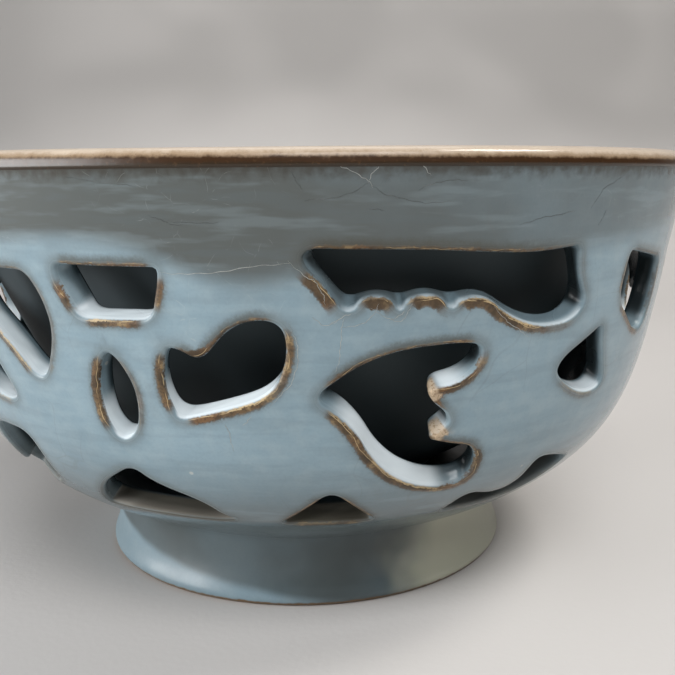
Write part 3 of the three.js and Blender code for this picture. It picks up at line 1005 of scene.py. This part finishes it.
def glaze_faces(look, colours, marks):
    """Glaze pooling pale with painted light, painted shade and worn tips on the cut faces. Returns the
    faces and the painted shade of the low faces.
    """
    edge, fine, below, painted_low_shade = marks.edge, marks.fine, marks.below, marks.painted_low_shade
    face = (edge + 0.15 * (1 - below)).smooth(-0.02, -0.25)
    # A pale coat: glaze pooling on the lower faces, and painted light where they face up to the lamp.
    pale_coat = face * marks.pale * (edge + marks.reach).smooth(-0.6, 0.5)
    leftmost = marks.rightward.smooth(-0.2, -0.7)
    # Painted shade: the cut faces darken towards the back of the wall, less where they are pale.
    dim = (edge + 0.4 * leftmost + 0.22 * marks.reach).smooth(0.1, -1.2)
    deep = dim * (1 - pale_coat) * (1 - 0.5 * marks.pale) * (1 - 0.35 * below)
    shaded = (edge + 0.2).smooth(0.1, -0.9) * marks.rightward.smooth(0.45, 0.9) * (1 - 0.8 * below)
    # Painted shade on the rounded front edge of the low openings' lower faces.
    painted_rim_shade = edge.smooth(0.5, 0.0) * edge.smooth(-0.15, 0.0) * painted_low_shade.smooth(0.5, 1.0) * below
    # Painted shade on the lower faces of the low openings: brownish grey with paler patches, darker
    # further back. These faces are rougher too.
    low_face_shade = face * below * painted_low_shade.smooth(0.0, 1.0)
    worn = marks.tip.smooth(0.0, 0.8) * edge.smooth(2.2, 1.0) * edge.smooth(-2.4, -1.2)
    # Painted shade on the back of the cut faces and the wall's inner side, between the walls.
    painted_back_shade = edge.smooth(-2.5, -2.75)
    look.coats(
        (deep * 0.92, colours.shadowed_glaze),
        (shaded * (1 - pale_coat) * 0.85, (0.012, 0.016, 0.017)),
        (face * marks.swell * 0.55, (0.09, 0.105, 0.11)),
        (painted_rim_shade * 0.8, (0.075, 0.07, 0.055)),
        (low_face_shade * 0.9, (0.14, 0.125, 0.1)),
        (low_face_shade * marks.patches.smooth(0.5, 0.6) * 0.35, (0.34, 0.33, 0.3)),
        (low_face_shade * painted_low_shade.smooth(1.0, 2.0) * 0.6, (0.05, 0.047, 0.03)),
        (low_face_shade * edge.smooth(-0.3, -1.5) * 0.8, (0.05, 0.047, 0.036)),
        (pale_coat * 0.94, colours.pooled_glaze_and_painted_light),
        (worn * (0.6 + 0.5 * marks.fray) * (0.75 + fine * 0.4), (0.62, 0.48, 0.33)),
        (worn * fine.smooth(0.54, 0.62) * 0.6, (0.2, 0.12, 0.06)),
        (painted_back_shade * 0.9, colours.shadowed_glaze),
    )
    return face, low_face_shade


def liner_material(colours):
    look = celadon("liner_celadon", colours)
    network = crackle(look, 95, 0.018) * look.noise(30).smooth(0.42, 0.62)
    # Pale glaze where it pools in the liner's floor.
    pale_coat = look.place("Z").smooth(0.03, 0.018)
    # Painted shade: the liner's outside, between the walls, is dark and rough.
    outside = look.attribute("side").smooth(0.0, -0.1)
    look.coats(
        (network * 0.4, (0.2, 0.19, 0.16)),
        (pale_coat * 0.45, colours.pooled_glaze_and_painted_light),
        (outside, colours.shadowed_glaze),
    )
    bumps = look.noise(210)
    return look.finish(0.1 + 0.08 * bumps + 0.5 * outside, bumps)


def lip_material(colours):
    look = Look("iron_brown_lip", colours.lip_brown, 1.45)
    fray = look.noise(700, 3.0)
    fine = look.noise(2400)
    height = look.place("Z") * 1000 + look.place("X") * 5
    ragged = height + (fray - 0.5) * 0.5 + (fine - 0.5) * 0.4
    crown = ragged.smooth(64.9, 65.3)
    worn = look.noise(160, 3.0).smooth(0.5, 0.68) * crown
    specks = fine.smooth(0.6, 0.7) * (1 - 0.6 * crown)
    look.coats(
        (ragged.smooth(64.55, 65.0), (0.33, 0.235, 0.15)),
        (ragged.smooth(64.85, 65.6), colours.lip_tan),
        (ragged.smooth(64.3, 63.9) * 0.7, (0.026, 0.02, 0.012)),
        (worn * 0.4, (0.74, 0.64, 0.52)),
        (specks * 0.45, (0.1, 0.055, 0.025)),
    )
    return look.finish(0.27 - 0.15 * crown + 0.1 * fray, fray * 0.7 + fine * 0.3, depth=0.00008)


def foot_material(colours):
    look = celadon("foot_celadon", colours)
    height = look.place("Z") * 1000
    angle = look.maths("ARCTAN2", look.place("X"), look.place("Y") * -1)
    fray = look.noise(800, 3.0)
    clouds = look.noise(60, 3.0).smooth(0.3, 0.7)
    slow = look.noise(90) - 0.5
    # Painted light: a crescent low on the foot's left keeps most of its colour, where the lamp reaches
    # under the bowl.
    lit_crescent = (height + 1.5 * slow + angle * 4.4 - 1.2).smooth(0.9, -0.7)
    lit_crescent = lit_crescent * angle.smooth(-2.2, -1.6) * (angle + 0.3 * slow).smooth(0.3, -0.15)
    # Painted reflection: a pale cream patch on the foot's right side.
    painted_reflection = (angle + 0.5 * slow).smooth(0.35, 0.65) * angle.smooth(1.9, 1.5)
    ragged = height + (fray - 0.5) * 0.6
    look.coats(
        # Painted shade: the foot is darkened where the bowl shades it, less on the lit crescent.
        ((0.76 + 0.2 * clouds) * (1 - 0.65 * lit_crescent), (0.048, 0.059, 0.058)),
        (painted_reflection * 0.85, (0.5, 0.5, 0.39)),
        (ragged.smooth(0.85, 0.45), colours.edge_brown),
        (ragged.smooth(0.22, 0.12), (0.24, 0.17, 0.12)),
    )
    rough = 0.34 + 0.1 * clouds + 0.3 * ragged.smooth(0.3, 0.1)
    return look.finish(rough, look.noise(210) + fray * 0.2)


def slip_material():
    look = Look("fired_slip", (0.16, 0.17, 0.15))
    lumps = look.noise(520, 3.0)
    specks = look.noise(3000, 1.0).smooth(0.6, 0.72)
    look.coats((lumps.smooth(0.35, 0.7), (0.26, 0.25, 0.21)), (specks * 0.5, (0.09, 0.07, 0.05)))
    return look.finish(0.4 + 0.2 * lumps, lumps, 0.5, 0.0003)


def craze_material(name, colour):
    look = Look(name, colour)
    broken = look.noise(1500).smooth(0.3, 0.7)
    look.coats((broken, dimmed(colour, 0.6)))
    return look.finish(0.25 + 0.2 * broken)


def paper_material(paper):
    """Pale paper that darkens up the backdrop, most on the left, with painted shade as of soft hanging
    cloth.
    """
    look = Look("pale_paper", paper, 1.4)
    across = look.place("X")
    fibre = look.noise(900, 4.0)
    slow = look.noise(3.0).smooth(0.3, 0.7)
    # Painted shade as of soft hanging cloth.
    painted_fold_shade = look.noise(7.0, 1.0, distortion=0.6).smooth(0.3, 0.7)
    high = (look.place("Z") + abs(across) * 0.14).smooth(0.05, 0.15)
    look.coats(
        (slow * 0.5, dimmed(paper, 0.93)),
        (high * (0.6 + 0.3 * painted_fold_shade), dimmed(paper, 0.53)),
        (high * across.smooth(-0.08, -0.3) * 0.65, dimmed(paper, 0.4)),
    )
    return look.finish(0.75 + 0.1 * fibre, fibre, 0.15, 0.0002)


# The user's sizes and colours


def colour_property(name, description, default):
    return bpy.props.FloatVectorProperty(
        name=name, description=description, subtype="COLOR", default=default, min=0, max=1,
    )


def length_property(name, description, default):
    return bpy.props.FloatProperty(
        name=name, description=description, unit="LENGTH", default=default, min=0,
    )


class TEABOWL_PG_sizes(bpy.types.PropertyGroup):
    shell_thickness: length_property(
        "Shell thickness", "Thickness of the outer wall at its openings", 0.003)
    arris: length_property("Edge rounding", "Radius of the rounded edges of the openings", 0.0005)
    unevenness: length_property(
        "Unevenness", "How far the thrown walls waver from a true round", 0.0001)
    craze_width: length_property("Craze width", "Width of a fine line in the glaze", 0.000065)


class TEABOWL_PG_colours(bpy.types.PropertyGroup):
    glaze: colour_property("Glaze", "Main colour of the celadon", (0.262, 0.372, 0.437))
    glaze_cloud: colour_property("Cloud", "Colour of its soft clouds", (0.225, 0.322, 0.378))
    # Dark grey below the lip; on the belly it is painted shade.
    dark_grey_glaze: colour_property("Thin glaze", "Grey where the glaze ran thin", (0.088, 0.101, 0.099))
    # Pale blue where the glaze pools; on the cut faces it is also painted light.
    pooled_glaze_and_painted_light: colour_property("Pooled glaze", "Pale blue on the cut faces", (0.8, 0.88, 0.92))
    # Painted shade, laid between the walls, deep in the cut faces and on the liner's outside.
    shadowed_glaze: colour_property("Jacket", "Colour between the walls", (0.03, 0.045, 0.052))
    edge_brown: colour_property("Brown edge", "Iron brown on the edges", (0.135, 0.08, 0.033))
    # The tan of thin glaze on the edges, partly painted glints of light.
    edge_gold_and_glint: colour_property("Gold glint", "Bright specks on the brown", (0.62, 0.47, 0.26))
    lip_tan: colour_property("Lip crown", "Tan on top of the lip", (0.62, 0.515, 0.41))
    lip_brown: colour_property("Lip side", "Brown on the lip's lower side", (0.045, 0.02, 0.007))
    paper: colour_property("Paper", "Colour of the floor and backdrop", (0.65, 0.63, 0.615))


# Operators


def dress(piece, node, material):
    piece.data.materials.append(material)
    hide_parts(node)
    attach(piece, "root")


class TEABOWL_OT_shell(bpy.types.Operator):
    """Makes the pierced outer shell"""

    bl_idname = "teabowl.shell"
    bl_label = "Pierced Shell"

    def execute(self, context):
        piece = pierced_shell(context.scene.tea_bowl)
        material = shell_material(context.scene.tea_bowl_colours)
        dress(piece, "pierced_shell", material)
        return {"FINISHED"}


class TEABOWL_OT_liner(bpy.types.Operator):
    """Makes the liner that holds the tea"""

    bl_idname = "teabowl.liner"
    bl_label = "Liner"

    def execute(self, context):
        piece = tea_liner(context.scene.tea_bowl.unevenness / MM)
        dress(piece, "inner_bowl", liner_material(context.scene.tea_bowl_colours))
        return {"FINISHED"}


class TEABOWL_OT_lip(bpy.types.Operator):
    """Makes the rolled brown lip"""

    bl_idname = "teabowl.lip"
    bl_label = "Lip"

    def execute(self, context):
        piece = rolled_lip(context.scene.tea_bowl.unevenness / MM)
        dress(piece, "rim_band", lip_material(context.scene.tea_bowl_colours))
        return {"FINISHED"}


class TEABOWL_OT_foot(bpy.types.Operator):
    """Makes the ring foot"""

    bl_idname = "teabowl.foot"
    bl_label = "Ring Foot"

    def execute(self, context):
        piece = ring_foot(context.scene.tea_bowl.unevenness / MM)
        dress(piece, "foot_ring", foot_material(context.scene.tea_bowl_colours))
        return {"FINISHED"}


class TEABOWL_OT_slip(bpy.types.Operator):
    """Finishes the fillets of slip that join the pieces"""

    bl_idname = "teabowl.slip"
    bl_label = "Slip Fillets"

    def execute(self, context):
        material = slip_material()
        for name in ("rim_slip_seam", "base_slip_seam", "foot_slip_seam"):
            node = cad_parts[name]
            node.data.materials.clear()
            node.data.materials.append(material)
        return {"FINISHED"}


class TEABOWL_OT_crazing(bpy.types.Operator):
    """Draws the fine craze lines in the glaze"""

    bl_idname = "teabowl.crazing"
    bl_label = "Craze Lines"

    def execute(self, context):
        sizes = context.scene.tea_bowl
        for name, lines, colour in (
            ("pale_craze_lines", PALE_LINES, (0.42, 0.44, 0.42)),
            ("dark_craze_lines", DARK_LINES, (0.075, 0.085, 0.085)),
        ):
            piece = craze_lines(name, lines, sizes)
            piece.data.materials.append(craze_material(name, colour))
            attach(piece, "root")
        return {"FINISHED"}


def craze_lines(name, lines, sizes):
    """Hair-thin raised ribbons that taper to nothing at both ends."""
    waver = sizes.unevenness / MM
    builder = Builder()
    for turn in UPPER_TURNS:
        for line in lines:
            path = smooth_path(line, 8)
            jog = np.arange(len(path)) + 9 * line[0][0]
            angle = np.radians(path[:, 0] + 0.05 * np.sin(1.9 * jog) + 0.06 * np.sin(0.7 * jog) + turn)
            up = path[:, 1] + 0.05 * np.sin(1.3 * jog + 1) + 0.05 * np.sin(0.43 * jog)
            radius = WALL.radius_at(up)
            along = np.gradient(np.stack([angle * radius.mean(), up], -1), axis=0)
            along /= np.linalg.norm(along, axis=1)[:, None]
            share = np.linspace(0, 1, len(path))
            half = sizes.craze_width / MM / 2 * np.sin(math.pi * np.clip(share, 0.02, 0.98))**0.5
            lift = unevenness(angle, up, waver)
            rows = []
            for side, out in ((-1, 0.004), (0, 0.02), (1, 0.004)):
                place = WALL.place(
                    angle - side * half * along[:, 1] / radius, up + side * half * along[:, 0],
                    lift + out,
                )
                rows.append(builder.add(place))
            for first, second in zip(rows, rows[1:]):
                quads = np.stack([first[:-1], first[1:], second[1:], second[:-1]], -1)
                builder.faces += quads.tolist()
    return builder.finish(name)


class TEABOWL_OT_stage(bpy.types.Operator):
    """Sets up the floor, the backdrop, the lamps and the camera"""

    bl_idname = "teabowl.stage"
    bl_label = "Stage"

    def execute(self, context):
        make_floor(context.scene.tea_bowl_colours.paper)
        make_lamps()
        make_camera()
        context.scene.view_settings.view_transform = "Standard"
        return {"FINISHED"}


def make_floor(paper):
    """A sheet of paper that lies under the bowl and curves up behind it."""
    front, back, bend, side, top = -0.9, 0.25, 0.35, 1.3, 1.3
    rows = [(front, 0.0), (back, 0.0)]
    for angle in np.linspace(0, math.pi / 2, 33)[1:]:
        rows.append((back + bend * math.sin(angle), bend * (1 - math.cos(angle))))
    rows.append((back + bend, top))
    points = [(x, y, z) for y, z in rows for x in (-side, side)]
    faces = [(2 * i, 2 * i + 1, 2 * i + 3, 2 * i + 2) for i in range(len(rows) - 1)]
    mesh = bpy.data.meshes.new("studio_sweep")
    mesh.from_pydata(points, [], faces)
    mesh.polygons.foreach_set("use_smooth", [True] * len(faces))
    mesh.materials.append(paper_material(paper))
    add_object("studio_sweep", mesh)


# Each lamp has a name, a place and a size in metres, a power in watts and a colour.
LAMPS = (
    ("softbox_above", (0.13, -0.51, 0.62), (0.5, 0.35), 4.2, (1, 1, 1)),
    ("softbox_left", (-0.77, -0.22, 0.16), (0.6, 0.36), 7.0, (1, 1, 1)),
    ("softbox_right", (0.46, -0.02, 0.72), (0.25, 0.25), 3.0, (1.0, 0.96, 0.9)),
    ("softbox_behind", (0.0, 0.45, 0.7), (0.5, 0.35), 0.5, (1, 1, 1)),
)
LAMP_TARGET = Vector((0, 0, 0.03))


def make_lamps():
    for name, place, size, power, colour in LAMPS:
        data = bpy.data.lights.new(name, "AREA")
        data.shape = "RECTANGLE"
        data.size, data.size_y = size
        data.energy = power
        data.color = colour
        lamp = add_object(name, data)
        lamp.location = place
        lamp.rotation_mode = "QUATERNION"
        lamp.rotation_quaternion = (LAMP_TARGET - Vector(place)).to_track_quat("-Z", "Y")
    world = bpy.data.worlds.new("studio")
    world.use_nodes = True
    world.node_tree.nodes["Background"].inputs["Color"].default_value = (0.8, 0.8, 0.82, 1)
    world.node_tree.nodes["Background"].inputs["Strength"].default_value = 0.05
    bpy.context.scene.world = world


# The camera's place in metres, its pitch, yaw and roll in degrees, and its lens in pixels.
CAMERA_PLACE = (0, -0.15272, 0.06253)
CAMERA_ANGLES = (-10.551, 2.216, -0.448)
LENS_PIXELS = 860
PICTURE_PIXELS = 675
SENSOR_WIDTH = 36


def make_camera():
    data = bpy.data.cameras.new("camera")
    data.sensor_width = SENSOR_WIDTH
    data.lens = LENS_PIXELS / PICTURE_PIXELS * SENSOR_WIDTH
    data.clip_start = 0.01
    camera = add_object("camera", data)
    pitch, yaw, roll = (math.radians(angle) for angle in CAMERA_ANGLES)
    level = Matrix.Rotation(-yaw, 4, "Z") @ Matrix.Rotation(math.pi / 2 + pitch, 4, "X")
    camera.matrix_world = Matrix.Translation(CAMERA_PLACE) @ level @ Matrix.Rotation(roll, 4, "Z")
    bpy.context.scene.camera = camera


class TEABOWL_PT_panel(bpy.types.Panel):
    """Lists the steps that make the tea bowl"""

    bl_idname = "TEABOWL_PT_panel"
    bl_label = "Tea Bowl"
    bl_space_type = "VIEW_3D"
    bl_region_type = "UI"
    bl_category = "Tea Bowl"

    def draw(self, context):
        for step in STEPS:
            self.layout.operator(step.bl_idname)
        for group in (context.scene.tea_bowl, context.scene.tea_bowl_colours):
            for name in group.__annotations__:
                self.layout.prop(group, name)


STEPS = (
    TEABOWL_OT_shell, TEABOWL_OT_liner, TEABOWL_OT_lip, TEABOWL_OT_foot, TEABOWL_OT_slip,
    TEABOWL_OT_crazing, TEABOWL_OT_stage,
)
CLASSES = (TEABOWL_PG_sizes, TEABOWL_PG_colours, *STEPS, TEABOWL_PT_panel)


def register():
    for cls in CLASSES:
        bpy.utils.register_class(cls)
    bpy.types.Scene.tea_bowl = bpy.props.PointerProperty(type=TEABOWL_PG_sizes)
    bpy.types.Scene.tea_bowl_colours = bpy.props.PointerProperty(type=TEABOWL_PG_colours)


def unregister():
    del bpy.types.Scene.tea_bowl_colours
    del bpy.types.Scene.tea_bowl
    for cls in reversed(CLASSES):
        bpy.utils.unregister_class(cls)


def main():
    register()
    bpy.ops.teabowl.shell()
    bpy.ops.teabowl.liner()
    bpy.ops.teabowl.lip()
    bpy.ops.teabowl.foot()
    bpy.ops.teabowl.slip()
    bpy.ops.teabowl.crazing()
    bpy.ops.teabowl.stage()


if __name__ == "__main__":
    main()
